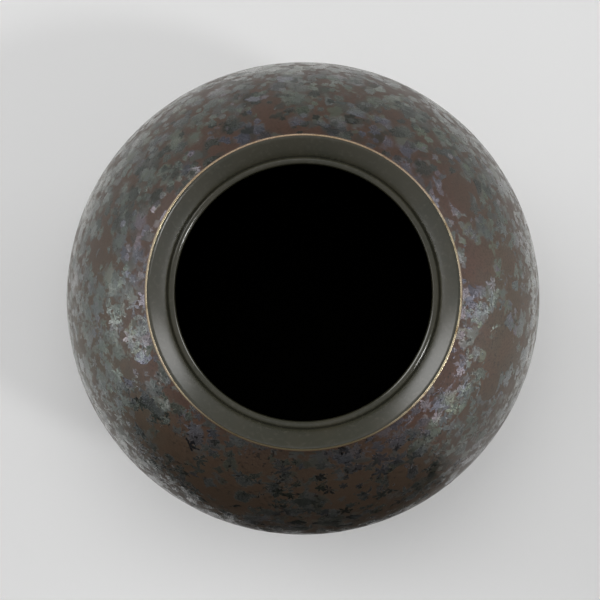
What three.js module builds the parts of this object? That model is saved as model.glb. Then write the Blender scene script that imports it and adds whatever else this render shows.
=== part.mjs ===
// A round stoneware flower vase with a short flared mouth, in the pieces that a potter makes and lutes
// together: a foot ring, a base disc, a lower bowl, a shoulder and a collar. Three fired coats lie on the
// clay: the crystalline outer glaze, the dark inner glaze and the thin line of broken glaze along the lip.
// Millimetres, +Z up. The origin is the centre of the face that the foot ring stands on.
import * as THREE from "three";

// Driving dimensions of the form. Radii are over the glaze wherever a surface is glazed.
const HEIGHT = 238;
const BELLY_RADIUS = 125;
const BELLY_HEIGHT = 122;
const WALL = 6.5;
const FOOT_RADIUS = 60;
const FOOT_HEIGHT = 8;
const FOOT_RING_WIDTH = 11;
const FOOT_TAPER = 1.6; // how much the ring draws in on each side towards the ground
const FOOT_ROUND = 1.4; // rounding of the ring's two lower edges
const BASE_THICKNESS = 9;
const FLOOR_RADIUS = 60; // flat part of the inside floor
const COVE_HEIGHT = 14; // the rounded corner between the floor and the wall
const COVE_REACH = 8; // how far short of the wall the cove's corner stays
const NECK_BASE_RADIUS = 75; // where the shoulder's curve ends and the neck begins
const COLLAR_HEIGHT = 20; // from there up to the lip
const NECK_PULL_RADIUS = 70.2; // the neck's hollow curve bends towards this radius
const LIP_RADIUS = 74.6;
const MOUTH_RADIUS = 71.9; // upper edge of the slope inside the mouth
const SLOPE_SWELL = 0.85; // the slope bends towards a point this far in and up from its straight middle
const THROAT_RADIUS = 60.7; // the narrowest place
const THROAT_DROP = 8; // from the lip down to it
const BEAD_ROUND = 1.9; // radius of the rounded bead that forms the throat
const BEAD_UNDERSIDE_ANGLE = 225; // the bead's arc runs from here up to the crease, in degrees
const BEAD_CREASE_ANGLE = 20;
const NECK_HOLLOW = 1; // how far the neck's inside stays behind the bead's lower edge

// Driving dimensions of the glaze and the joints
const OUTER_COAT = 0.6;
const INNER_COAT = 0.6;
const LIP_COAT = 0.6;
const LIP_LINE_WIDTH = 1.2;
const LIP_DROP = 0.1; // how far the inner glaze stays below the lip line where they meet
const GLAZE_STOP_HEIGHT = 18; // the ledge that stops the outer glaze from running on to the foot
const GLAZE_ROLL_HEIGHT = 6; // the thick roll that the glaze leaves above that ledge
const GLAZE_ROLL = 1.5;
const GAP = 0.3; // between faces that lie side by side
const SEAM_STEP = 3; // height of the rebate in each luted seam
const FLOOR_SEAM_RADIUS = 58;
const COLLAR_SEAM_DROP = 3; // from the start of the neck down to the collar's seam

// How finely the shapes are divided
const ROUND_STEPS = 40;
const BOWL_STEPS = 7;
const SHOULDER_STEPS = 7;
const NECK_STEPS = 4;
const BEAD_STEPS = 4;
const SLOPE_STEPS = 3;
const SMALL_STEPS = 3;
const EDGE_STEPS = 2;

const outerClay = OUTER_COAT + GAP; // depth of the clay below the outer glaze's surface
const innerClay = INNER_COAT + GAP; // and below the inner glaze's surface
const floorHeight = FOOT_HEIGHT + BASE_THICKNESS;
const floorSeamHeight = floorHeight - SEAM_STEP;
const coveTopHeight = floorHeight + COVE_HEIGHT;
const neckBaseHeight = HEIGHT - COLLAR_HEIGHT;
const collarSeamHeight = neckBaseHeight - COLLAR_SEAM_DROP;
const collarTongueHeight = collarSeamHeight - SEAM_STEP;
const bellyTongueHeight = BELLY_HEIGHT + SEAM_STEP;
const lipTop = HEIGHT - LIP_COAT;

const SAME_POINT = GAP / 2; // points closer than this count as one

const at = (radius, height) => new THREE.Vector2(radius, height);
const reversed = (points) => [...points].reverse();

// Vertical half axis of an ellipse about the belly line that passes through a given radius and height.
function riseThrough(radius, height) {
  return Math.abs(height - BELLY_HEIGHT) / Math.sqrt(1 - (radius / BELLY_RADIUS) ** 2);
}

// The body's curve at a depth under the outer surface: one ellipse below the belly line, another above it.
function bodyCurve(depth) {
  return {
    belly: BELLY_RADIUS - depth,
    below: riseThrough(FOOT_RADIUS, FOOT_HEIGHT) - depth,
    above: riseThrough(NECK_BASE_RADIUS, neckBaseHeight) - depth,
  };
}

// The same curve for the hollow, at a depth behind the inner glaze's surface.
function hollowCurve(depth) {
  return bodyCurve(outerClay + WALL + innerClay - depth);
}

function angleAt(curve, height) {
  const rise = height < BELLY_HEIGHT ? curve.below : curve.above;
  return Math.asin((height - BELLY_HEIGHT) / rise);
}

function pointAt(curve, angle) {
  const rise = angle < 0 ? curve.below : curve.above;
  return at(curve.belly * Math.cos(angle), BELLY_HEIGHT + rise * Math.sin(angle));
}

function wallPoint(curve, height) {
  return pointAt(curve, angleAt(curve, height));
}

// The point at a given radius on the line that touches the upper curve at a given height.
function tangentPoint(curve, height, radius) {
  const touch = wallPoint(curve, height);
  const steepness = (-touch.x * curve.above ** 2) / ((touch.y - BELLY_HEIGHT) * curve.belly ** 2);
  return at(radius, touch.y + steepness * (radius - touch.x));
}

// Points of a wall between two heights, evenly spaced by angle.
function wall(curve, fromHeight, toHeight, steps) {
  const from = angleAt(curve, fromHeight);
  const to = angleAt(curve, toHeight);
  return Array.from({ length: steps + 1 }, (_, i) => pointAt(curve, from + ((to - from) * i) / steps));
}

// A curve between two points that bends towards a third.
function bend(from, towards, to, steps) {
  return new THREE.QuadraticBezierCurve(from, towards, to).getPoints(steps);
}

// An outline moved to the left of its direction of travel. Its last point is brought to the lip's height.
function movedUnderLip(outline, distance) {
  const moved = outline.map((point, i) => {
    const before = outline[Math.max(i - 1, 0)];
    const after = outline[Math.min(i + 1, outline.length - 1)];
    const along = after.clone().sub(before).normalize();
    return at(-along.y, along.x).multiplyScalar(distance).add(point);
  });
  moved[moved.length - 1].y = lipTop;
  return moved;
}

// Joins outlines end to end, without the points that repeat the one before.
function chain(...outlines) {
  const points = [];
  for (const point of outlines.flat()) {
    const last = points[points.length - 1];
    if (!last || last.distanceTo(point) > SAME_POINT) points.push(point);
  }
  return points;
}

// Outside outlines, each from low to high, at a depth below the outer glaze's surface
function bowlOutside(depth) {
  return wall(bodyCurve(depth), GLAZE_STOP_HEIGHT, BELLY_HEIGHT, BOWL_STEPS);
}

function shoulderOutside(depth) {
  return wall(bodyCurve(depth), BELLY_HEIGHT, collarSeamHeight, SHOULDER_STEPS);
}

function neckOutside(depth) {
  const base = wallPoint(bodyCurve(0), neckBaseHeight);
  const pull = tangentPoint(bodyCurve(0), neckBaseHeight, NECK_PULL_RADIUS);
  const neck = bend(base, pull, at(LIP_RADIUS, lipTop), NECK_STEPS);
  return chain([wallPoint(bodyCurve(depth), collarSeamHeight)], movedUnderLip(neck, depth));
}

// Inside outlines, each from the floor's middle towards the lip, at a depth behind the inner glaze's surface
function floorAndCove(depth) {
  const height = floorHeight + INNER_COAT - Math.min(depth, INNER_COAT);
  const coveTop = wallPoint(hollowCurve(depth), coveTopHeight);
  return bend(at(FLOOR_RADIUS, height), at(coveTop.x - COVE_REACH, height), coveTop, SMALL_STEPS);
}

function bowlInside(depth) {
  return chain(
    wall(hollowCurve(depth), coveTopHeight, BELLY_HEIGHT, BOWL_STEPS - 1),
    [wallPoint(hollowCurve(depth), bellyTongueHeight)],
  );
}

function shoulderInside(depth) {
  return wall(hollowCurve(depth), bellyTongueHeight, collarTongueHeight, SHOULDER_STEPS - 1);
}

// Points of the throat's bead, from its underside over the narrowest place to the crease.
function throatBead() {
  const from = THREE.MathUtils.degToRad(BEAD_UNDERSIDE_ANGLE);
  const to = THREE.MathUtils.degToRad(BEAD_CREASE_ANGLE);
  const centre = at(THROAT_RADIUS + BEAD_ROUND, HEIGHT - THROAT_DROP);
  return Array.from({ length: BEAD_STEPS + 1 }, (_, i) => {
    const angle = from + ((to - from) * i) / BEAD_STEPS;
    return at(Math.cos(angle), Math.sin(angle)).multiplyScalar(BEAD_ROUND).add(centre);
  });
}

function mouthInside(depth) {
  const bead = throatBead();
  const crease = bead[BEAD_STEPS];
  const mouthEdge = at(MOUTH_RADIUS, lipTop);
  const swell = at((crease.x + mouthEdge.x) / 2 - SLOPE_SWELL, (crease.y + mouthEdge.y) / 2 + SLOPE_SWELL);
  const hollowTop = wallPoint(hollowCurve(0), collarTongueHeight);
  const neckHollow = tangentPoint(hollowCurve(0), collarTongueHeight, bead[0].x + NECK_HOLLOW);
  const outline = chain(
    bend(hollowTop, neckHollow, bead[0], SMALL_STEPS),
    bead,
    bend(crease, swell, mouthEdge, SLOPE_STEPS),
  );
  return [wallPoint(hollowCurve(depth), collarTongueHeight), ...movedUnderLip(outline, -depth).slice(1)];
}

// The whole inside outline, from the floor to the lip
function inside(depth) {
  return [...floorAndCove(depth), ...bowlInside(depth), ...shoulderInside(depth), ...mouthInside(depth)];
}

// Closed profiles of the pieces, anticlockwise with the axis on the left
function footRing() {
  const outer = FOOT_RADIUS;
  const inner = FOOT_RADIUS - FOOT_RING_WIDTH;
  const roundSide = FOOT_TAPER * (1 - FOOT_ROUND / FOOT_HEIGHT);
  const innerLow = inner + FOOT_TAPER;
  const outerLow = outer - FOOT_TAPER;
  return chain(
    bend(at(inner + roundSide, FOOT_ROUND), at(innerLow, 0), at(innerLow + FOOT_ROUND, 0), SMALL_STEPS),
    bend(at(outerLow - FOOT_ROUND, 0), at(outerLow, 0), at(outer - roundSide, FOOT_ROUND), SMALL_STEPS),
    [at(outer, FOOT_HEIGHT), at(inner, FOOT_HEIGHT)],
  );
}

function baseDisc() {
  return chain(
    [at(0, FOOT_HEIGHT)],
    wall(bodyCurve(0), FOOT_HEIGHT, floorSeamHeight, SMALL_STEPS),
    [at(FLOOR_SEAM_RADIUS, floorSeamHeight), at(FLOOR_SEAM_RADIUS, floorHeight), at(0, floorHeight)],
  );
}

const bellySeamRadius = BELLY_RADIUS - outerClay - WALL / 2;

function lowerBowl() {
  return chain(
    [at(FLOOR_SEAM_RADIUS + GAP, floorSeamHeight)],
    wall(bodyCurve(0), floorSeamHeight, GLAZE_STOP_HEIGHT, SMALL_STEPS),
    bowlOutside(outerClay),
    [at(bellySeamRadius - GAP / 2, BELLY_HEIGHT), at(bellySeamRadius - GAP / 2, bellyTongueHeight)],
    reversed(bowlInside(innerClay)),
    reversed(floorAndCove(innerClay)),
    [at(FLOOR_SEAM_RADIUS + GAP, floorHeight)],
  );
}

const collarSeamOuter = wallPoint(bodyCurve(outerClay), collarSeamHeight).x;
const collarSeamInner = wallPoint(hollowCurve(innerClay), collarTongueHeight).x;
const collarSeamRadius = (collarSeamOuter + collarSeamInner) / 2;

function shoulder() {
  return chain(
    [at(bellySeamRadius + GAP / 2, BELLY_HEIGHT)],
    shoulderOutside(outerClay),
    [at(collarSeamRadius + GAP / 2, collarSeamHeight), at(collarSeamRadius + GAP / 2, collarTongueHeight)],
    reversed(shoulderInside(innerClay)),
    [at(bellySeamRadius + GAP / 2, bellyTongueHeight)],
  );
}

function collar() {
  return chain(
    [at(collarSeamInner, collarTongueHeight), at(collarSeamRadius - GAP / 2, collarTongueHeight)],
    [at(collarSeamRadius - GAP / 2, collarSeamHeight)],
    neckOutside(outerClay),
    reversed(mouthInside(innerClay)).slice(0, -1),
  );
}

function outerGlaze() {
  const surface = bodyCurve(0);
  const rollTop = wallPoint(surface, GLAZE_STOP_HEIGHT + GLAZE_ROLL_HEIGHT);
  const rollFoot = wallPoint(surface, GLAZE_STOP_HEIGHT);
  const bulge = at((rollFoot.x + rollTop.x) / 2 + GLAZE_ROLL, (rollFoot.y + rollTop.y) / 2 - GLAZE_ROLL);
  return chain(
    bend(rollFoot, bulge, rollTop, SMALL_STEPS),
    bowlOutside(0).slice(1),
    shoulderOutside(0),
    neckOutside(0),
    reversed(neckOutside(OUTER_COAT)),
    reversed(shoulderOutside(OUTER_COAT)),
    reversed(bowlOutside(OUTER_COAT)),
  );
}

function innerGlaze() {
  const edgeRadius = LIP_RADIUS - LIP_LINE_WIDTH - GAP;
  const edgeHeight = HEIGHT - LIP_DROP;
  return chain(
    [at(0, floorHeight)],
    inside(INNER_COAT),
    [at(edgeRadius, lipTop)],
    bend(at(edgeRadius, edgeHeight), at(MOUTH_RADIUS, edgeHeight), at(MOUTH_RADIUS, lipTop), EDGE_STEPS),
    reversed(inside(0)),
    [at(0, floorHeight + INNER_COAT)],
  );
}

function lipLine() {
  const half = LIP_LINE_WIDTH / 2;
  const crown = [];
  for (let i = 0; i <= SMALL_STEPS + 1; i++) {
    const angle = (Math.PI * i) / (SMALL_STEPS + 1);
    crown.push(at(LIP_RADIUS - half + half * Math.cos(angle), lipTop + LIP_COAT * Math.sin(angle)));
  }
  return crown;
}

// A named piece turned from its profile. A profile that doesn't start on the axis closes on itself.
function turned(name, profile, material) {
  const closed = profile[0].x === 0 ? profile : [...profile, profile[0]];
  const geometry = new THREE.LatheGeometry(closed, ROUND_STEPS).rotateX(Math.PI / 2);
  const mesh = new THREE.Mesh(geometry, new THREE.MeshStandardMaterial(material));
  mesh.name = name;
  return mesh;
}

const firedClay = { color: 0x8f7a66, roughness: 0.85, metalness: 0 };
const crystalGlaze = { color: 0x645a50, roughness: 0.3, metalness: 0 };
const darkGlaze = { color: 0x3a3730, roughness: 0.2, metalness: 0 };
const brokenGlaze = { color: 0xa08a6c, roughness: 0.35, metalness: 0 };

const vase = new THREE.Group();
vase.name = "crystal_glaze_vase";
vase.add(
  turned("foot_ring", footRing(), firedClay),
  turned("base_disc", baseDisc(), firedClay),
  turned("lower_bowl", lowerBowl(), firedClay),
  turned("shoulder", shoulder(), firedClay),
  turned("collar", collar(), firedClay),
  turned("outer_glaze", outerGlaze(), crystalGlaze),
  turned("inner_glaze", innerGlaze(), darkGlaze),
  turned("lip_line", lipLine(), brokenGlaze),
);

export default vase;
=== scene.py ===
"""The looks of a round stoneware vase with a crystalline glaze, seen from above on a pale floor."""

import math

import bpy
from mathutils import Matrix, Vector, noise


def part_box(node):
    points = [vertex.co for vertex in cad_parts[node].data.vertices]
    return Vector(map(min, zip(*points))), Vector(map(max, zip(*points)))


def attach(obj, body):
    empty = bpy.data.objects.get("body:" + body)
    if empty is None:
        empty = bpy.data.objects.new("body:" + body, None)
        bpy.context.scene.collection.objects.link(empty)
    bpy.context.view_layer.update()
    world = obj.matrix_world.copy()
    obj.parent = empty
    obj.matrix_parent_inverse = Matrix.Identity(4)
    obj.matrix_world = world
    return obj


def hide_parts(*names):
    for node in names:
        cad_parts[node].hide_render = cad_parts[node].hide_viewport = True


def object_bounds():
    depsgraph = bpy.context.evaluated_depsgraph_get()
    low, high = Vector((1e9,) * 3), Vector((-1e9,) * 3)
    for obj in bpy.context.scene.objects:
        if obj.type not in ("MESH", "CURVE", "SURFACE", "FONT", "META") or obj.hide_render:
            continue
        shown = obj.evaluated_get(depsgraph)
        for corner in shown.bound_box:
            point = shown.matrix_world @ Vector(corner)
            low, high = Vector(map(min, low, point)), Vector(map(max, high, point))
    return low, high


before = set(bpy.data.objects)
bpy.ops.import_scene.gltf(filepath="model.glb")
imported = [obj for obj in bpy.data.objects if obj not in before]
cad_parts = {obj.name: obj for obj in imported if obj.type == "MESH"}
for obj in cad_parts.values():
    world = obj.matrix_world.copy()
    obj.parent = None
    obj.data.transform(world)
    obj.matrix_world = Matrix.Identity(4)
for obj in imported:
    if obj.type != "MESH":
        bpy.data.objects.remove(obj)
cad_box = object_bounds()

# Sizes in metres, from the frame where it gives them
MM = 0.001
HEIGHT = cad_box[1][2]
BELLY_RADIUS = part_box("outer_glaze")[1][0]
BELLY_HEIGHT = 122 * MM
LIP_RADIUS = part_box("lip_line")[1][0]
LIP_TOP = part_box("lip_line")[0][2]
LIP_LINE_WIDTH = 1.2 * MM
FOOT_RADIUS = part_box("foot_ring")[1][0]
FOOT_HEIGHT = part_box("foot_ring")[1][2]
FOOT_RING_WIDTH = 11 * MM
FOOT_TAPER = 1.6 * MM
FOOT_ROUND = 1.4 * MM
FLOOR_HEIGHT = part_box("inner_glaze")[0][2]  # of the clay inside, under the inner glaze
FLOOR_RADIUS = 60 * MM
COVE_HEIGHT = 14 * MM
COVE_REACH = 8 * MM
WALL_DEPTH = 8.3 * MM  # from the outer glaze's surface to the inner glaze's
COAT = 0.6 * MM
GLAZE_STOP_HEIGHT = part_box("outer_glaze")[0][2]
GLAZE_ROLL_HEIGHT = 6 * MM
GLAZE_ROLL = 1.5 * MM
BASE_TOP = 14 * MM  # where the base disc's side ends
NECK_BASE_RADIUS = 75 * MM
NECK_BASE_HEIGHT = HEIGHT - 20 * MM
NECK_PULL_RADIUS = 70.2 * MM
HOLLOW_TOP = NECK_BASE_HEIGHT - 6 * MM  # where the neck's inside begins
NECK_HOLLOW = 1 * MM
MOUTH_RADIUS = 71.9 * MM
MOUTH_EDGE_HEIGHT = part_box("inner_glaze")[1][2]
SLOPE_FOOT = (0.8 * MM, 2 * MM)  # how the slope starts from the crease: outwards and up
THROAT_RADIUS = 60.7 * MM
THROAT_HEIGHT = HEIGHT - 8 * MM
BEAD_ROUND = 1.9 * MM
BEAD_ANGLES = (225, 20)  # from its underside to the crease, in degrees
ROUND_STEPS = 256

# A potter's unevenness: how far the outer surface goes in, its waves to the metre, and the least
# radius that it is reckoned with
UNEVENNESS = 0.25 * MM
UNEVEN_WAVES = 28
UNEVEN_LEAST_RADIUS = 10 * MM

# The photograph's view
PHOTO_SIZE = 600
CAMERA_DISTANCE = 0.96
CAMERA_OFFSET = (-0.0049, -0.024)  # how far the camera stands off the vase's axis
PICTURE_UP = (0.107, 0.994, 0)
LENS = 108.13
SENSOR = 36.0
BELLY_MIDDLE_IN_PHOTO = (303.0, 298.25)

# Colours as a screen shows them, from 0 to 255
COLOURS = {
    # the outer glaze's ground
    "russet": (76, 52, 38),
    "deep russet": (67, 51, 38),
    "olive brown": (68, 54, 39),
    "deep olive brown": (60, 51, 38),
    "film": (69, 61, 47),
    "fawn": (78, 68, 54),
    "red brown": (82, 50, 42),
    # painted shade on the camera's side
    "camera side shade brown": (60, 48, 37),
    "far brown": (62, 46, 37),
    "pit": (52, 38, 28),
    "speck": (24, 21, 19),
    # its crystals
    "sage": (99, 107, 94),
    "slate": (96, 101, 104),
    "sea grey": (95, 103, 101),
    "lilac": (112, 104, 109),
    "lavender": (99, 100, 111),
    "fibre": (70, 70, 68),
    "muted crystal": (56, 59, 55),
    # painted shade on the camera's side
    "camera side shade crystal": (64, 64, 59),
    # painted sheen: stands in for the belly's grazing reflection of the bright floor
    "painted sheen crystal": (178, 177, 172),
    "painted_sheen": (160, 160, 154),
    # the inner glaze
    "dark olive": (47, 47, 36),
    "olive": (53, 51, 39),
    "olive grain": (62, 60, 50),
    # painted shade in the crease
    "crease": (18, 18, 13),
    "hollow": (5, 5, 4),
    # the lip line
    "gold": (220, 206, 172),
    "warm gold": (224, 204, 178),
    "gold grain": (150, 126, 88),
    # painted shade on the lip line's near side
    "shaded olive gold": (92, 82, 56),
    "copper": (186, 156, 126),
    "lip flank": (78, 56, 42),
    # the bare clay and the floor
    "clay": (150, 128, 104),
    "dark clay": (132, 110, 90),
    "clay grain": (168, 148, 124),
    "iron spot": (62, 48, 40),
    "floor": (226, 226, 226),
}

# Random patterns: waves to the metre, detail, and the noise at which they start and are full
PATTERNS = {
    "blotches": (110.0, 2.0, 0.4, 0.6),
    "film": (75.0, 3.0, 0.42, 0.66),
    # the painted sheen's streaks
    "painted_sheen": (190.0, 4.0, 0.42, 0.62),
    "speckled places": (70.0, 1.0, 0.46, 0.56),
    "specks": (560.0, 2.0, 0.59, 0.64),
    "inner clouds": (45.0, 3.0, 0.35, 0.65),
    "lip clouds": (30.0, 2.0, 0.35, 0.65),
    "clay clouds": (40.0, 3.0, 0.35, 0.65),
}

# Grain that also shows as relief: waves to the metre, detail, roughness, and its depth
GLAZE_GRAIN = (900.0, 3.0, 0.5, 0.12 * MM)
INNER_GRAIN = (500.0, 4.0, 0.5, 0.03 * MM)
LIP_GRAIN = (180.0, 3.0, 0.5, 0.01 * MM)
CLAY_GRAIN = (1400.0, 4.0, 0.6, 0.12 * MM)
IRON_SPOTS = 700.0  # to the metre
IRON_SPOT_SIZE = (0.08, 0.16)  # of their spacing: where a spot fades and where it ends

# Where the outer glaze changes, in metres: where a change starts and where it is full
FAR_SIDE = (-0.02, 0.06)  # along Y, calmer crystals
NEAR_SIDE = (-0.03, -0.09)  # along Y, painted shade on the camera's side
NEAR_BELLY = (-0.04, -0.09)  # along Y, less painted sheen
SPECKLED_SIDE = (0.02, -0.04)  # along Y, more dark specks
LEFT_SIDE = (-0.03, -0.1)  # along X, an olive ground
LEFT_CRYSTALS = (-0.04, -0.09)  # along X, sea grey crystals
RIGHT_SIDE = (0.065, 0.1)  # along X, a fawn ground
MOUTH_BAND = (0.2, 0.214)  # in height, redder and more violet
CLEAR_BAND = (0.185, 0.205)  # in height, less painted shade on the right
SHEEN_BAND_TOP = (0.185, 0.145)  # in height, painted sheen from here down
SHEEN_BAND_FOOT = (0.06, 0.115)  # in height, and from here up

# A crystal. Its reach and waves are reckoned in its layer's spacing.
STAR_REACH = 0.47
FEWEST_ARMS = 4
SPARE_ARMS = 2.99  # a random whole number below this is added
PETAL_WAVES = 2.2
PETAL_REACH = (0.8, 1.2)  # how short and how long the petals make its arms
FIBRE_WAVES = 7.0
FAINTEST = 0.6  # how much the faintest crystal covers
CALM_POINT = 0.3  # how pointed a calm crystal is beside a lively one
CALM_BLUR = 2  # how soft its edge is beside a lively one's
SEED_STEP = (7.3, 3.1, 5.7)
CRYSTAL_TILT = 0.24  # how far a crystal leans from the surface, as a slope
FIBRE_TILT = 1.1  # and its fibres, to either side

# Drifts in the crystals' outlines, number and hue, with their waves to the metre
CRYSTAL_WARP = 2.0 * MM
WARP_WAVES = 260.0
RAGGED_WAVES = 480.0
RAGGED = (0.5, 0.16)  # how ragged lively and calm crystals are
GROWTH_WAVES = 34.0
HUE_WAVES = 30.0

# Layers from below: spacing, seed, share of the points that grew one, how pointed, and how soft the
# edge is
CRYSTAL_LAYERS = (
    (5.5 * MM, 1, 0.45, 0.14, 0.05),
    (10 * MM, 2, 0.6, 0.06, 0.1),
    (8 * MM, 3, 0.5, 0.23, 0.045),
    (4.2 * MM, 4, 0.22, 0.2, 0.06),
)

# Where more or fewer crystals grew: azimuth in degrees, height and reach in mm, and the change in
# their share
GROWTH = (
    (26, 205, 21, -0.7), (3, 209, 15, -1.4), (3, 189, 13, -0.5), (338, 196, 22, -0.8),
    (294, 192, 17, -0.5), (247, 207, 17, -0.6), (241, 182, 18, -0.6), (224, 196, 16, -0.6),
    (196, 201, 13, -0.5), (163, 192, 14, -0.5), (115, 214, 13, -0.5), (57, 193, 14, -0.5),
    (191, 212, 15, 0.6), (213, 204, 14, 0.5), (178, 188, 13, 0.4), (153, 201, 14, 0.5),
    (63, 206, 14, 0.4), (347, 213, 13, 0.8), (320, 205, 13, 0.6), (327, 189, 12, -0.8),
    (335, 203, 6, 1.2), (330, 210, 6, 1.2),
)

# The glazes of the mouth
CREASE_REACH = 0.8 * MM  # of the painted shade line in the crease between the bead and the slope
HOLLOW_FADE = 3 * MM  # how far below the throat the inside turns black
GLOSS_FADE = 0.6 * MM  # from the bead's gloss to the slope's
LIP_FLANK = (0.6 * MM, 0.15 * MM)  # inwards of the lip's edge, where the brown flank starts and is full
LIP_NEAR_SIDE = (-0.04, -0.07)  # along Y plus LIP_SKEW times X, darker olive: painted shade
LIP_SKEW = 0.2
LIP_FAR_SIDE = (0.03, 0.065)  # along Y, coppery

# How rough, metallic and reflective the surfaces are
GROUND_ROUGHNESS = 0.42
CRYSTAL_ROUGHNESS = 0.24
CRYSTAL_METAL = (0.95, 0.6)  # of the most and the least metallic crystal
# how much less metallic the crystals are under the painted sheen
SHEEN_METAL_LOSS = 0.4
OUTER_SPECULAR = 0.3
BEAD_ROUGHNESS = 0.13
SLOPE_ROUGHNESS = 0.26
HOLLOW_ROUGHNESS = 0.6
INNER_SPECULAR = 0.8
LIP_ROUGHNESS = 0.25
LIP_METAL = (0.85, 0.2)  # of its top and its flank
CLAY_ROUGHNESS = 0.85
FLOOR_ROUGHNESS = 0.9
FLOOR_SPECULAR = 0.1

# The stage: half the floor's side, and cards that only reflections see, a black one low on the camera's
# side and a dim one overhead, each as its corners and its glow
FLOOR_HALF = 4.0
LOW_CARD_Y = -0.172
HIGH_CARD_HEIGHT = 0.9
LOW_CARD_XZ = ((-0.38, 0), (0.12, 0), (0.12, 0.22), (-0.38, 0.22))
HIGH_CARD_XY = ((-0.4, -0.4), (0.05, -0.4), (0.4, 0.0), (0.4, 0.45), (-0.4, 0.45))
CARDS = (
    ("low_card", [(x, LOW_CARD_Y, z) for x, z in LOW_CARD_XZ], 0.0),
    ("high_card", [(x, y, HIGH_CARD_HEIGHT) for x, y in HIGH_CARD_XY], 0.35),
)

# The world's light by direction. Near the horizon it comes from all round, least from the camera's
# side, and more from the left and right. Higher up it is even, with more from the left and right.
HORIZON_LIGHT = (0.14, 0.26)
HORIZON_TURN = (-0.8, 0.6)  # along Y, from the first of these strengths to the second
SIDE_LIGHT = (0.15, 0.7)
SIDE_TURN = (-0.9, -0.5)  # along Y plus SIDE_SKEW times X, in the same way
SIDE_SKEW = 0.3
SKY_LIGHT = 0.25
SKY_SIDE_LIGHT = 0.35
SKY_RISE = (0.17, 0.45)  # along Z, where the horizon's light gives way to the sky's
SKY_SIDE_RISE = 0.12  # how much sooner that is on the left and right

# Soft lamps in the sky: azimuth, elevation, radius in degrees, and strength
LAMPS = ((88, 76, 25, 3.3), (142, 27, 23, 3.4), (20, 22, 16, 3.3), (329, 50, 4.5, 42.0))

# Lamps that rise only a little over the horizon: azimuth, half their width in degrees, and strength
LOW_LAMPS = ((339, 30, 6.2), (187, 30, 6.0))
LOW_LAMP_TOP = 0.12  # along Z, where they end
LAMP_CORE = 0.4  # the part of a lamp's radius that is fully bright


def at(radius, height):
    return Vector((radius, height))


def rise_through(radius, height):
    """The rise of a half ellipse from the belly that passes through a point."""
    return abs(height - BELLY_HEIGHT) / math.sqrt(1 - (radius / BELLY_RADIUS) ** 2)


RISE_BELOW = rise_through(FOOT_RADIUS, FOOT_HEIGHT)
RISE_ABOVE = rise_through(NECK_BASE_RADIUS, NECK_BASE_HEIGHT)


def wall_point(depth, height):
    """A point of the body's curve, at a depth under its surface."""
    rise = (RISE_BELOW if height < BELLY_HEIGHT else RISE_ABOVE) - depth
    share = (height - BELLY_HEIGHT) / rise
    return at((BELLY_RADIUS - depth) * math.sqrt(1 - share * share), height)


def tangent_point(depth, height, radius):
    """The point at a given radius on the line that touches the upper curve at a given height."""
    touch = wall_point(depth, height)
    rise = RISE_ABOVE - depth
    steepness = -touch.x * rise ** 2 / ((touch.y - BELLY_HEIGHT) * (BELLY_RADIUS - depth) ** 2)
    return at(radius, touch.y + steepness * (radius - touch.x))


def wall(depth, low, high, steps):
    return [wall_point(depth, low + (high - low) * i / steps) for i in range(steps + 1)]


def bend(start, towards, end, steps):
    """A curve between two points that bends towards a third."""
    points = []
    for i in range(steps + 1):
        t = i / steps
        points.append(start * (1 - t) ** 2 + towards * 2 * t * (1 - t) + end * t * t)
    return points


def arc(middle, radius, start, end, steps):
    """An arc between two angles, in degrees."""
    angles = [math.radians(start + (end - start) * i / steps) for i in range(steps + 1)]
    return [middle + at(math.cos(angle), math.sin(angle)) * radius for angle in angles]


def neck_outside():
    base = wall_point(0, NECK_BASE_HEIGHT)
    pull = tangent_point(0, NECK_BASE_HEIGHT, NECK_PULL_RADIUS)
    return bend(base, pull, at(LIP_RADIUS, LIP_TOP), steps=24)


def mouth_inside():
    """From the hollow's top round the bead, up the slope, and over its edge to the lip line."""
    bead = arc(at(THROAT_RADIUS + BEAD_ROUND, THROAT_HEIGHT), BEAD_ROUND, *BEAD_ANGLES, steps=24)
    hollow = tangent_point(WALL_DEPTH, HOLLOW_TOP, bead[0].x + NECK_HOLLOW)
    under = bend(wall_point(WALL_DEPTH, HOLLOW_TOP), hollow, bead[0], steps=12)
    foot = bead[-1] + at(*SLOPE_FOOT)
    mouth_edge = at(MOUTH_RADIUS, LIP_TOP)
    slope = bend(bead[-1], foot, mouth_edge, steps=24)
    over = mouth_edge + (mouth_edge - foot) * (MOUTH_EDGE_HEIGHT - LIP_TOP) / (LIP_TOP - foot.y)
    edge = bend(mouth_edge, over, at(LIP_RADIUS - LIP_LINE_WIDTH, MOUTH_EDGE_HEIGHT), steps=8)
    return under + bead[1:] + slope[1:] + edge[1:]


def outer_glaze_outline():
    roll_foot = wall_point(0, GLAZE_STOP_HEIGHT)
    roll_top = wall_point(0, GLAZE_STOP_HEIGHT + GLAZE_ROLL_HEIGHT)
    bulge = (roll_foot + roll_top) / 2 + at(GLAZE_ROLL, -GLAZE_ROLL)
    roll = bend(roll_foot, bulge, roll_top, steps=10)
    body = wall(0, GLAZE_STOP_HEIGHT + GLAZE_ROLL_HEIGHT, NECK_BASE_HEIGHT, steps=90)
    ledge = wall_point(COAT, GLAZE_STOP_HEIGHT)
    return [ledge] + roll + body[1:] + neck_outside()[1:] + [at(LIP_RADIUS - COAT, LIP_TOP)]


def inner_glaze_outline():
    cove_top = wall_point(WALL_DEPTH, FLOOR_HEIGHT + COVE_HEIGHT)
    floor = FLOOR_HEIGHT + COAT
    cove = bend(at(FLOOR_RADIUS, floor), at(cove_top.x - COVE_REACH, floor), cove_top, steps=10)
    body = wall(WALL_DEPTH, FLOOR_HEIGHT + COVE_HEIGHT, HOLLOW_TOP, steps=40)
    return [at(0, floor)] + cove + body[1:] + mouth_inside()[1:]


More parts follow.
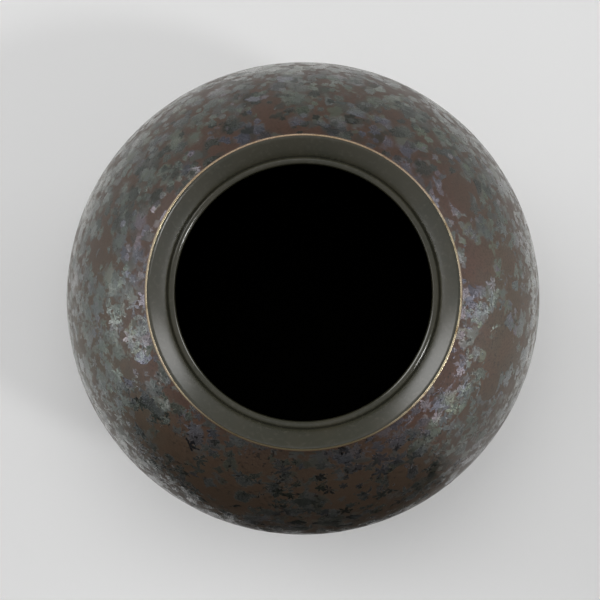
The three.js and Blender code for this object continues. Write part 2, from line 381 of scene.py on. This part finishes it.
def lip_line_outline():
    """The line's section: a small rounding inside, and a wide one that leans outwards."""
    inner = LIP_RADIUS - LIP_LINE_WIDTH
    crown = at(inner + LIP_LINE_WIDTH / 4, HEIGHT)
    inside = bend(at(inner, LIP_TOP), at(inner, HEIGHT), crown, steps=5)
    return inside + bend(crown, at(LIP_RADIUS, HEIGHT), at(LIP_RADIUS, LIP_TOP), steps=10)[1:]


def foot_ring_outline():
    inner = FOOT_RADIUS - FOOT_RING_WIDTH
    side = FOOT_TAPER * (1 - FOOT_ROUND / FOOT_HEIGHT)
    low_inner = inner + FOOT_TAPER
    low_outer = FOOT_RADIUS - FOOT_TAPER
    lower = bend(
        at(inner + side, FOOT_ROUND), at(low_inner, 0), at(low_inner + FOOT_ROUND, 0), steps=6
    )
    outer = bend(
        at(low_outer - FOOT_ROUND, 0), at(low_outer, 0), at(FOOT_RADIUS - side, FOOT_ROUND), steps=6
    )
    return [at(inner, FOOT_HEIGHT)] + lower + outer + [at(FOOT_RADIUS, FOOT_HEIGHT)]


def base_outline():
    return [at(0, FOOT_HEIGHT)] + wall(0, FOOT_HEIGHT, BASE_TOP, steps=6)


def bowl_outline():
    return wall(0, BASE_TOP, GLAZE_STOP_HEIGHT, steps=4) + [wall_point(COAT, GLAZE_STOP_HEIGHT)]


def place_object(name, data):
    made = bpy.data.objects.new(name, data)
    bpy.context.scene.collection.objects.link(made)
    return made


def turn(name, outline, material, wobble):
    """A smooth surface of revolution, with a potter's slight unevenness inwards."""
    vertices = []
    faces = []
    for row, point in enumerate(outline):
        for step in range(ROUND_STEPS):
            angle = 2 * math.pi * step / ROUND_STEPS
            place = Vector((point.x * math.cos(angle), point.x * math.sin(angle), point.y))
            uneven = noise.noise(place * UNEVEN_WAVES) * 0.5 + 0.5
            shrink = 1 - wobble * uneven / max(point.x, UNEVEN_LEAST_RADIUS)
            vertices.append((place.x * shrink, place.y * shrink, place.z))
            if row:
                after = (step + 1) % ROUND_STEPS
                low, high = (row - 1) * ROUND_STEPS, row * ROUND_STEPS
                faces.append((low + step, low + after, high + after, high + step))
    mesh = bpy.data.meshes.new(name)
    mesh.from_pydata(vertices, [], faces)
    mesh.validate()
    mesh.polygons.foreach_set("use_smooth", [True] * len(mesh.polygons))
    mesh.materials.append(material)
    return place_object(name, mesh)


def panel(name, corners, material):
    """A flat plate with a single face."""
    mesh = bpy.data.meshes.new(name)
    mesh.from_pydata(corners, [], [range(len(corners))])
    mesh.materials.append(material)
    return place_object(name, mesh)


def colour(name):
    """A named colour, from its screen values."""
    shares = (value / 255 for value in COLOURS[name])
    linear = [v / 12.92 if v < 11 / 255 else ((v + 0.055) / 1.055) ** 2.4 for v in shares]
    return (*linear, 1.0)


class Nodes:
    """A node tree that is built by short calls."""

    def __init__(self, tree):
        self.tree = tree
        self.tree.nodes.clear()

    def node(self, kind, inputs=None, **settings):
        made = self.tree.nodes.new(kind)
        for key, value in settings.items():
            setattr(made, key, value)
        for key, value in (inputs or {}).items():
            if isinstance(value, bpy.types.NodeSocket):
                self.tree.links.new(value, made.inputs[key])
            else:
                made.inputs[key].default_value = value
        return made

    def math(self, operation, a, b=0.0, c=0.0):
        return self.node("ShaderNodeMath", {0: a, 1: b, 2: c}, operation=operation).outputs[0]

    def times(self, first, *others):
        for other in others:
            first = self.math("MULTIPLY", first, other)
        return first

    def vector(self, operation, a, b=(0, 0, 0)):
        made = self.node("ShaderNodeVectorMath", {0: a, 1: b}, operation=operation)
        return made.outputs["Value" if operation in ("DOT_PRODUCT", "LENGTH", "DISTANCE") else "Vector"]

    def scaled(self, a, factor):
        inputs = {0: a, "Scale": factor}
        return self.node("ShaderNodeVectorMath", inputs, operation="SCALE").outputs[0]

    def ramp(self, value, low, high, to_low=0.0, to_high=1.0, smooth=True):
        kind = "SMOOTHSTEP" if smooth else "LINEAR"
        inputs = {0: value, 1: low, 2: high, 3: to_low, 4: to_high}
        return self.node("ShaderNodeMapRange", inputs, interpolation_type=kind).outputs[0]

    def mix(self, factor, a, b):
        """A mix of two colours, each an output or a name."""
        a, b = (colour(c) if isinstance(c, str) else c for c in (a, b))
        return self.node("ShaderNodeMix", {0: factor, 6: a, 7: b}, data_type="RGBA").outputs[2]

    def blend(self, factor, a, b):
        return self.node("ShaderNodeMix", {0: factor, 2: a, 3: b}).outputs[0]

    def mix_vector(self, factor, a, b):
        return self.node("ShaderNodeMix", {0: factor, 4: a, 5: b}, data_type="VECTOR").outputs[1]

    def noise(self, place, waves, detail=3.0, rough=0.5, output=0):
        inputs = {"Vector": place, "Scale": waves, "Detail": detail, "Roughness": rough}
        return self.node("ShaderNodeTexNoise", inputs).outputs[output]

    def split(self, vector):
        return self.node("ShaderNodeSeparateXYZ", {0: vector}).outputs[:3]


class Surface(Nodes):
    """A material on the Principled shader, with the place on the object that its patterns follow."""

    def __init__(self, name):
        self.material = bpy.data.materials.new(name)
        self.material.use_nodes = True
        super().__init__(self.material.node_tree)
        self.place = self.node("ShaderNodeTexCoord").outputs["Object"]
        self.x, self.y, self.z = self.split(self.place)

    def radius(self):
        return self.vector("LENGTH", self.vector("MULTIPLY", self.place, (1, 1, 0)))

    def pattern(self, name, most=1.0):
        """A pattern from the table, from 0 to the most that it reaches."""
        waves, detail, low, high = PATTERNS[name]
        return self.ramp(self.noise(self.place, waves, detail), low, high, 0.0, most)

    def grain(self, row):
        """A grain from its row of values: its noise, and its depth."""
        waves, detail, rough, depth = row
        return self.noise(self.place, waves, detail, rough), depth

    def finish(self, color, roughness, metallic=0.0, specular=0.5, normal=None, relief=None, depth=0.0):
        inputs = {"Base Color": color, "Roughness": roughness, "Metallic": metallic}
        shader = self.node("ShaderNodeBsdfPrincipled", inputs)
        shader.inputs["Specular IOR Level"].default_value = specular
        if relief is not None:
            inputs = {"Strength": 1.0, "Distance": depth, "Height": relief}
            if normal is not None:
                inputs["Normal"] = normal
            normal = self.node("ShaderNodeBump", inputs).outputs[0]
        if normal is not None:
            self.tree.links.new(normal, shader.inputs["Normal"])
        self.node("ShaderNodeOutputMaterial", {"Surface": shader.outputs[0]})
        return self.material


class CrystalGlaze(Surface):
    """The outer coat: layers of star crystals over a mottled brown ground."""

    def __init__(self):
        super().__init__("crystal_glaze")
        self.normal = self.node("ShaderNodeNewGeometry").outputs["Normal"]
        self.fine, self.depth = self.grain(GLAZE_GRAIN)
        self.drift = self.noise(self.place, GROWTH_WAVES, 1.0)
        self.calm = self.ramp(self.y, *FAR_SIDE)
        self.near_mouth = self.ramp(self.z, *MOUTH_BAND)
        # Painted shade: darker towards the camera's side, where less light falls; less of it on the
        # right near the mouth
        right = self.math("MAXIMUM", self.x, 0.0)
        clear = self.times(right, self.ramp(self.z, *CLEAR_BAND, 0.0, 0.6))
        self.camera_side_shade = self.ramp(self.math("ADD", self.y, clear), *NEAR_SIDE)
        # Painted sheen: lighter crystals in a band round the belly, in place of its grazing reflection
        # of the bright floor, less on the camera's side
        self.painted_sheen_band = self.times(
            self.ramp(self.z, *SHEEN_BAND_TOP),
            self.ramp(self.y, *NEAR_BELLY, 1.0, 0.3),
            self.ramp(self.drift, 0.35, 0.6, 0.35, 0.8),
            self.ramp(self.z, *SHEEN_BAND_FOOT, 0.35, 1.0),
        )

    def ground(self):
        """Russet to olive brown: thinly filmed, redder at the mouth, painted shade near the camera,
        pitted.
        """
        blotches = self.pattern("blotches")
        russet = self.mix(blotches, "russet", "deep russet")
        olive = self.mix(blotches, "olive brown", "deep olive brown")
        brown = self.mix(self.ramp(self.x, *LEFT_SIDE), russet, olive)
        brown = self.mix(self.pattern("film", 0.6), brown, "film")
        brown = self.mix(self.ramp(self.x, *RIGHT_SIDE, 0.0, 0.5), brown, "fawn")
        brown = self.mix(self.times(self.near_mouth, 0.4), brown, "red brown")
        # painted shade on the camera's side
        brown = self.mix(self.camera_side_shade, brown, "camera side shade brown")
        brown = self.mix(self.times(self.calm, 0.7), brown, "far brown")
        return self.mix(self.ramp(self.fine, 0.4, 0.8), brown, "pit")

    def growth(self):
        """How much larger than its layer's the share of points is that grew a crystal here."""
        more = self.ramp(self.drift, 0.36, 0.64, -0.14, 0.18)
        more = self.math("MULTIPLY_ADD", self.calm, 0.18, more)
        for azimuth, height, reach, change in GROWTH:
            radius = wall_point(0, height * MM).x
            turned = math.radians(azimuth)
            middle = (radius * math.cos(turned), radius * math.sin(turned), height * MM)
            away = self.vector("DISTANCE", self.place, middle)
            more = self.math("ADD", more, self.ramp(away, 0.0, reach * MM, change, 0.0))
        return more

    def stars(self, place, ragged, more, layer):
        """Star crystals about scattered points: mask, random numbers, fibres, and how they lean."""
        size, seed, share, point, blur = layer
        shift = tuple(seed * step for step in SEED_STEP)
        shifted = self.vector("ADD", self.scaled(place, 1 / size), shift)
        inputs = {"Vector": shifted, "Scale": 1.0, "Randomness": 1.0}
        cells = self.node("ShaderNodeTexVoronoi", inputs).outputs
        centre = cells["Position"]
        random = self.node("ShaderNodeSeparateColor", {0: cells["Color"]}).outputs
        local = self.vector("SUBTRACT", shifted, centre)
        outward = self.vector("NORMALIZE", local)

        # The outline: arms round the centre, with petals and a ragged edge
        across = self.vector("NORMALIZE", self.vector("CROSS_PRODUCT", (0, 0, 1), self.normal))
        along = self.vector("CROSS_PRODUCT", self.normal, across)
        x = self.vector("DOT_PRODUCT", local, across)
        y = self.vector("DOT_PRODUCT", local, along)
        turned = self.math("DIVIDE", self.math("ARCTAN2", y, x), 2 * math.pi)
        spare = self.math("FLOOR", self.times(random[1], SPARE_ARMS))
        arms = self.math("ADD", FEWEST_ARMS, spare)
        wave = self.math("PINGPONG", self.times(self.math("ADD", turned, random[0]), arms), 0.5)
        pointed = self.times(self.ramp(self.calm, 0.0, 1.0, point, point * CALM_POINT), 4.0)
        reach = self.math("MULTIPLY_ADD", self.math("SUBTRACT", 0.25, wave), pointed, STAR_REACH)
        fan = self.vector("ADD", outward, centre)
        petals = self.noise(fan, PETAL_WAVES, 2.0)
        reach = self.times(reach, self.ramp(petals, 0.3, 0.7, *PETAL_REACH, smooth=False))
        inside = self.math("SUBTRACT", reach, self.vector("LENGTH", local))
        soft = self.ramp(self.calm, 0.0, 1.0, blur, blur * CALM_BLUR)
        edge = self.math("DIVIDE", self.math("ADD", inside, ragged), soft)
        present = self.math("LESS_THAN", random[2], self.math("ADD", more, share))
        strength = self.ramp(random[1], 0.0, 1.0, FAINTEST, 1.0, smooth=False)
        mask = self.times(self.ramp(edge, -1.0, 1.0), self.times(present, strength))

        # The lean: of the whole crystal, and of its fibres to either side
        chance = self.node("ShaderNodeTexWhiteNoise", {"Vector": centre}).outputs["Color"]
        tilt = self.scaled(self.vector("SUBTRACT", chance, (0.5, 0.5, 0.5)), CRYSTAL_TILT)
        fibres = self.noise(fan, FIBRE_WAVES, 2.0)
        sideways = self.vector("NORMALIZE", self.vector("CROSS_PRODUCT", self.normal, outward))
        ridge = self.scaled(sideways, self.times(self.math("SUBTRACT", fibres, 0.5), FIBRE_TILT))
        return mask, random, fibres, self.vector("ADD", tilt, ridge)

    def crystal_colour(self, hue_drift, random, fibres):
        """Grey-green to slate, or violet, mostly near the mouth; painted shade near the camera, painted
        sheen at the belly.
        """
        cool = self.mix(random[0], "sage", "slate")
        cool = self.mix(self.ramp(self.x, *LEFT_CRYSTALS, 0.0, 0.4), cool, "sea grey")
        violet = self.mix(self.ramp(random[2], 0.0, 0.5), "lilac", "lavender")
        chance = self.math("ADD", hue_drift, self.times(random[1], 0.3))
        chance = self.math("MULTIPLY_ADD", self.near_mouth, 0.17, chance)
        crystal = self.mix(self.ramp(chance, 0.68, 0.92), cool, violet)
        crystal = self.mix(self.ramp(fibres, 0.35, 0.65, 0.0, 0.4), crystal, "fibre")
        muted = self.times(self.calm, self.ramp(random[0], 0.1, 0.9))
        crystal = self.mix(muted, crystal, "muted crystal")
        # painted shade on the camera's side
        crystal = self.mix(self.times(self.camera_side_shade, 0.6), crystal, "camera side shade crystal")
        return self.mix(self.times(self.painted_sheen_band, random[1]), crystal, "painted sheen crystal")

    def painted_sheen_and_specks(self, color):
        # Painted sheen in streaks over the belly band, then dark specks
        painted_sheen = self.times(self.pattern("painted_sheen"), self.times(self.painted_sheen_band, 0.5))
        color = self.mix(painted_sheen, color, "painted_sheen")
        speckled = self.ramp(self.y, *SPECKLED_SIDE, 0.15, 1.0)
        speckled = self.times(self.pattern("speckled places"), speckled)
        speck = self.times(self.pattern("specks"), speckled)
        return self.mix(self.times(speck, 0.8), color, "speck")

    def build(self):
        warp = self.noise(self.place, WARP_WAVES, 2.0, output="Color")
        warp = self.vector("SUBTRACT", warp, (0.5, 0.5, 0.5))
        warped = self.vector("ADD", self.place, self.scaled(warp, CRYSTAL_WARP))
        ragged = self.math("SUBTRACT", self.noise(self.place, RAGGED_WAVES), 0.5)
        ragged = self.times(ragged, self.ramp(self.calm, 0.0, 1.0, *RAGGED))
        hue_drift = self.noise(self.place, HUE_WAVES, 2.0)
        more = self.growth()
        color = self.ground()
        cover = 0.0
        metallic = 0.0
        lean = (0.0, 0.0, 0.0)
        for layer in CRYSTAL_LAYERS:
            mask, random, fibres, facets = self.stars(warped, ragged, more, layer)
            color = self.mix(mask, color, self.crystal_colour(hue_drift, random, fibres))
            cover = self.math("MAXIMUM", cover, mask)
            mirror = self.ramp(random[0], 0.0, 1.0, *CRYSTAL_METAL, smooth=False)
            mirror = self.math("SUBTRACT", mirror, self.times(self.painted_sheen_band, SHEEN_METAL_LOSS))
            metallic = self.blend(mask, metallic, mirror)
            lean = self.mix_vector(mask, lean, facets)
        color = self.painted_sheen_and_specks(color)
        leaning = self.vector("NORMALIZE", self.vector("ADD", self.normal, lean))
        roughness = self.ramp(cover, 0.0, 1.0, GROUND_ROUGHNESS, CRYSTAL_ROUGHNESS)
        relief = self.math("ADD", self.times(cover, 0.4), self.times(self.fine, 0.6))
        return self.finish(color, roughness, metallic, OUTER_SPECULAR, leaning, relief, self.depth)


def inner_glaze():
    """Dark olive, with painted shade in the crease, and black and dull below the throat, where no light
    shows.
    """
    s = Surface("inner_glaze")
    fine, depth = s.grain(INNER_GRAIN)
    olive = s.mix(s.pattern("inner clouds"), "dark olive", "olive")
    olive = s.mix(s.ramp(fine, 0.5, 0.8), olive, "olive grain")
    # Painted shade along the crease between the bead and the slope
    crease_height = THROAT_HEIGHT + BEAD_ROUND * math.sin(math.radians(BEAD_ANGLES[1]))
    from_crease = s.math("ABSOLUTE", s.math("SUBTRACT", s.z, crease_height))
    crease = s.ramp(from_crease, 0.0, CREASE_REACH, 0.7, 0.0)
    color = s.mix(crease, olive, "crease")
    lit = s.ramp(s.z, THROAT_HEIGHT - HOLLOW_FADE, THROAT_HEIGHT)
    color = s.mix(lit, "hollow", color)
    bead_edge = THROAT_RADIUS + BEAD_ROUND * 2
    gloss = s.ramp(s.radius(), bead_edge, bead_edge + GLOSS_FADE, BEAD_ROUGHNESS, SLOPE_ROUGHNESS)
    roughness = s.blend(lit, HOLLOW_ROUGHNESS, gloss)
    metallic = s.ramp(lit, 0.0, 1.0, 1.0, 0.0)
    return s.finish(color, roughness, metallic, INNER_SPECULAR, relief=fine, depth=depth)


def lip_glaze():
    """A golden line, darker and olive on the near side as painted shade, coppery on the far side, with a
    brown outer flank.
    """
    s = Surface("lip_glaze")
    fine, depth = s.grain(LIP_GRAIN)
    gold = s.mix(s.pattern("lip clouds"), "gold", "warm gold")
    gold = s.mix(s.ramp(fine, 0.5, 0.8), gold, "gold grain")
    # painted shade: the line darker and olive towards the camera's side
    lip_shade = s.ramp(s.math("MULTIPLY_ADD", s.x, LIP_SKEW, s.y), *LIP_NEAR_SIDE, 0.0, 0.9)
    gold = s.mix(lip_shade, gold, "shaded olive gold")
    gold = s.mix(s.ramp(s.y, *LIP_FAR_SIDE, 0.0, 0.6), gold, "copper")
    flank = s.ramp(s.radius(), *(LIP_RADIUS - inwards for inwards in LIP_FLANK))
    color = s.mix(flank, gold, "lip flank")
    metallic = s.ramp(flank, 0.0, 1.0, *LIP_METAL)
    return s.finish(color, LIP_ROUGHNESS, metallic, relief=fine, depth=depth)


def fired_clay():
    s = Surface("fired_clay")
    grain, depth = s.grain(CLAY_GRAIN)
    body = s.mix(s.pattern("clay clouds"), "clay", "dark clay")
    grainy = s.mix(s.ramp(grain, 0.35, 0.7), body, "clay grain")
    inputs = {"Vector": s.place, "Scale": IRON_SPOTS}
    spots = s.node("ShaderNodeTexVoronoi", inputs).outputs["Distance"]
    color = s.mix(s.ramp(spots, *IRON_SPOT_SIZE, 0.7, 0.0), grainy, "iron spot")
    return s.finish(color, CLAY_ROUGHNESS, relief=grain, depth=depth)


def build_vase():
    clay = fired_clay()
    glaze = CrystalGlaze().build()
    pieces = (
        ("outer_glaze_surface", outer_glaze_outline(), glaze, "outer_glaze", "crystal_glaze"),
        ("inner_glaze_surface", inner_glaze_outline(), inner_glaze(), "inner_glaze", "dark_glaze"),
        ("lip_line_surface", lip_line_outline(), lip_glaze(), "lip_line", "broken_glaze"),
        ("foot_ring_surface", foot_ring_outline(), clay, "foot_ring", "fired_clay"),
        ("base_surface", base_outline(), clay, "base_disc", "fired_clay"),
        ("bowl_band_surface", bowl_outline(), clay, "lower_bowl", "fired_clay"),
    )
    for name, outline, material, node, slot in pieces:
        wobble = UNEVENNESS if node == "outer_glaze" else 0.0
        piece = turn(name, outline, material, wobble)
        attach(piece, "root")
        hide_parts(node)
    for node in ("shoulder", "collar"):
        for material_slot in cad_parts[node].material_slots:
            material_slot.material = clay


def build_floor():
    material = Surface("floor").finish(colour("floor"), FLOOR_ROUGHNESS, specular=FLOOR_SPECULAR)
    half = FLOOR_HALF
    corners = [(-half, -half, 0), (half, -half, 0), (half, half, 0), (-half, half, 0)]
    floor = panel("floor", corners, material)


def build_cards():
    for name, corners, glow in CARDS:
        material = bpy.data.materials.new(name)
        material.use_nodes = True
        n = Nodes(material.node_tree)
        emission = n.node("ShaderNodeEmission", {"Color": (1, 1, 1, 1), "Strength": glow})
        n.node("ShaderNodeOutputMaterial", {"Surface": emission.outputs[0]})
        card = panel(name, corners, material)
        card.visible_camera = False
        card.visible_diffuse = False
        card.visible_shadow = False


def build_camera():
    """The photograph's view: the belly's middle, seen from a little off the axis."""
    data = bpy.data.cameras.new("camera")
    data.lens = LENS
    data.sensor_width = SENSOR
    data.shift_x = -(BELLY_MIDDLE_IN_PHOTO[0] - PHOTO_SIZE / 2) / PHOTO_SIZE
    data.shift_y = (BELLY_MIDDLE_IN_PHOTO[1] - PHOTO_SIZE / 2) / PHOTO_SIZE
    camera = place_object("camera", data)
    offset = Vector((*CAMERA_OFFSET, 0))
    rise = math.sqrt(CAMERA_DISTANCE ** 2 - offset.length_squared)
    camera.location = offset + Vector((0, 0, BELLY_HEIGHT + rise))
    back = (camera.location - Vector((0, 0, BELLY_HEIGHT))).normalized()
    right = Vector(PICTURE_UP).cross(back).normalized()
    camera.rotation_euler = Matrix((right, back.cross(right), back)).transposed().to_euler()
    bpy.context.scene.camera = camera


def direction(azimuth, elevation):
    a, e = math.radians(azimuth), math.radians(elevation)
    return (math.cos(a) * math.cos(e), math.sin(a) * math.cos(e), math.sin(e))


def lamp(n, seen, azimuth, elevation, wide, power):
    """A round patch of sky that is brightest in its middle and fades to its edge."""
    near = n.vector("DOT_PRODUCT", seen, direction(azimuth, elevation))
    edge, core = math.cos(math.radians(wide)), math.cos(math.radians(wide * LAMP_CORE))
    return n.ramp(near, edge, core, 0.0, power)


def build_light():
    """A studio of soft light: bright overhead and to the left and right, dim on the camera's side."""
    world = bpy.data.worlds.new("studio")
    world.use_nodes = True
    bpy.context.scene.world = world
    n = Nodes(world.node_tree)
    seen = n.node("ShaderNodeTexCoord").outputs["Generated"]
    x, y, z = n.split(seen)
    sides = n.times(x, x)
    side_light = n.ramp(n.math("MULTIPLY_ADD", x, SIDE_SKEW, y), *SIDE_TURN, *SIDE_LIGHT)
    low = n.math("MULTIPLY_ADD", sides, side_light, n.ramp(y, *HORIZON_TURN, *HORIZON_LIGHT))
    for azimuth, wide, power in LOW_LAMPS:
        patch = lamp(n, seen, azimuth, 0, wide, power)
        low = n.math("MULTIPLY_ADD", patch, n.ramp(z, LOW_LAMP_TOP, 0.0), low)
    high = n.math("MULTIPLY_ADD", sides, SKY_SIDE_LIGHT, SKY_LIGHT)
    rise = n.math("MULTIPLY_ADD", n.math("ABSOLUTE", x), SKY_SIDE_RISE, z)
    light = n.blend(n.ramp(rise, *SKY_RISE), low, high)
    for azimuth, elevation, wide, power in LAMPS:
        light = n.math("ADD", light, lamp(n, seen, azimuth, elevation, wide, power))
    background = n.node("ShaderNodeBackground", {"Color": (1, 1, 1, 1), "Strength": light})
    n.node("ShaderNodeOutputWorld", {"Surface": background.outputs[0]})


bpy.context.scene.view_settings.view_transform = "Standard"
build_camera()
build_vase()
build_floor()
build_cards()
build_light()

bpy.context.view_layer.update()
